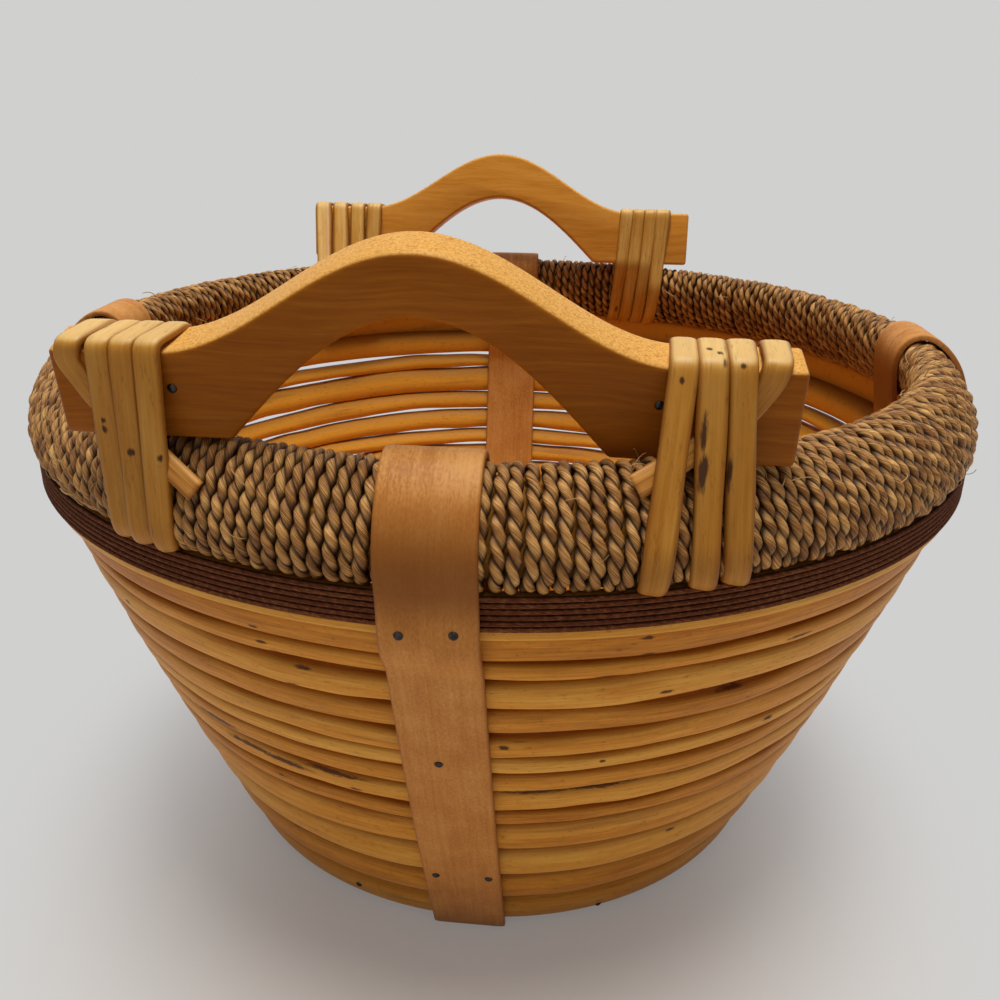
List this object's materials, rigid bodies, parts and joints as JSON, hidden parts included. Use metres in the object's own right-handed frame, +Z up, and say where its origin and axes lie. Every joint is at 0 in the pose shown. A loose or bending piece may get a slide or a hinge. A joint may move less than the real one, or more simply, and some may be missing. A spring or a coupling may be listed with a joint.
{
  "type": "gathering basket",
  "caption": "Round flared gathering basket of bent willow rods held by nailed straps, with a rope-wound rim and arched wooden handles lashed to it.",
  "frame": {"origin": "on the floor, under the middle of the round base", "axes": "+Z up, front handle towards -Y, the two plain straps at +X and -X"},
  "size_m": [0.4048, 0.4058, 0.2871],
  "materials": {
    "willow": "satin peeled willow, honey tan with dark knots",
    "base_wood": "plain board, dull",
    "strap_wood": "smooth mid-brown bent wood, low sheen",
    "handle_wood": "varnished brown board with long grain",
    "split_willow": "pale straw split willow, satin",
    "seagrass": "dull twisted seagrass rope",
    "dark_cord": "dull dark brown twisted cord",
    "nail_steel": "darkened steel"
  },
  "bodies": {
    "root": {"wall_rod_01": "willow", "wall_rod_02": "willow", "wall_rod_03": "willow", "wall_rod_04": "willow", "wall_rod_05": "willow", "wall_rod_06": "willow", "wall_rod_07": "willow", "wall_rod_08": "willow", "wall_rod_09": "willow", "wall_rod_10": "willow", "wall_rod_11": "willow", "wall_rod_12": "willow", "wall_rod_13": "willow", "base_board": "base_wood", "top_hoop": "willow", "cord_band": "dark_cord", "rim_core": "willow", "rim_rope_1": "seagrass", "rim_rope_2": "seagrass", "rim_rope_3": "seagrass", "rim_rope_4": "seagrass", "strap_front": "strap_wood", "nail_front_top_a": "nail_steel", "nail_front_top_b": "nail_steel", "nail_front_middle": "nail_steel", "nail_front_low_a": "nail_steel", "nail_front_low_b": "nail_steel", "strap_right": "strap_wood", "nail_right_top_a": "nail_steel", "nail_right_top_b": "nail_steel", "nail_right_middle": "nail_steel", "nail_right_low_a": "nail_steel", "nail_right_low_b": "nail_steel", "strap_back": "strap_wood", "nail_back_top_a": "nail_steel", "nail_back_top_b": "nail_steel", "nail_back_middle": "nail_steel", "nail_back_low_a": "nail_steel", "nail_back_low_b": "nail_steel", "strap_left": "strap_wood", "nail_left_top_a": "nail_steel", "nail_left_top_b": "nail_steel", "nail_left_middle": "nail_steel", "nail_left_low_a": "nail_steel", "nail_left_low_b": "nail_steel", "nail_base_front_left": "nail_steel", "nail_base_front_right": "nail_steel", "nail_base_back_right": "nail_steel", "nail_base_back_left": "nail_steel", "handle_front": "handle_wood", "nail_handle_front_a": "nail_steel", "nail_handle_front_b": "nail_steel", "handle_rear": "handle_wood", "nail_handle_rear_a": "nail_steel", "nail_handle_rear_b": "nail_steel", "lashing_front_right": "split_willow", "lashing_front_left": "split_willow", "lashing_rear_right": "split_willow", "lashing_rear_left": "split_willow"}
  },
  "joints": []
}
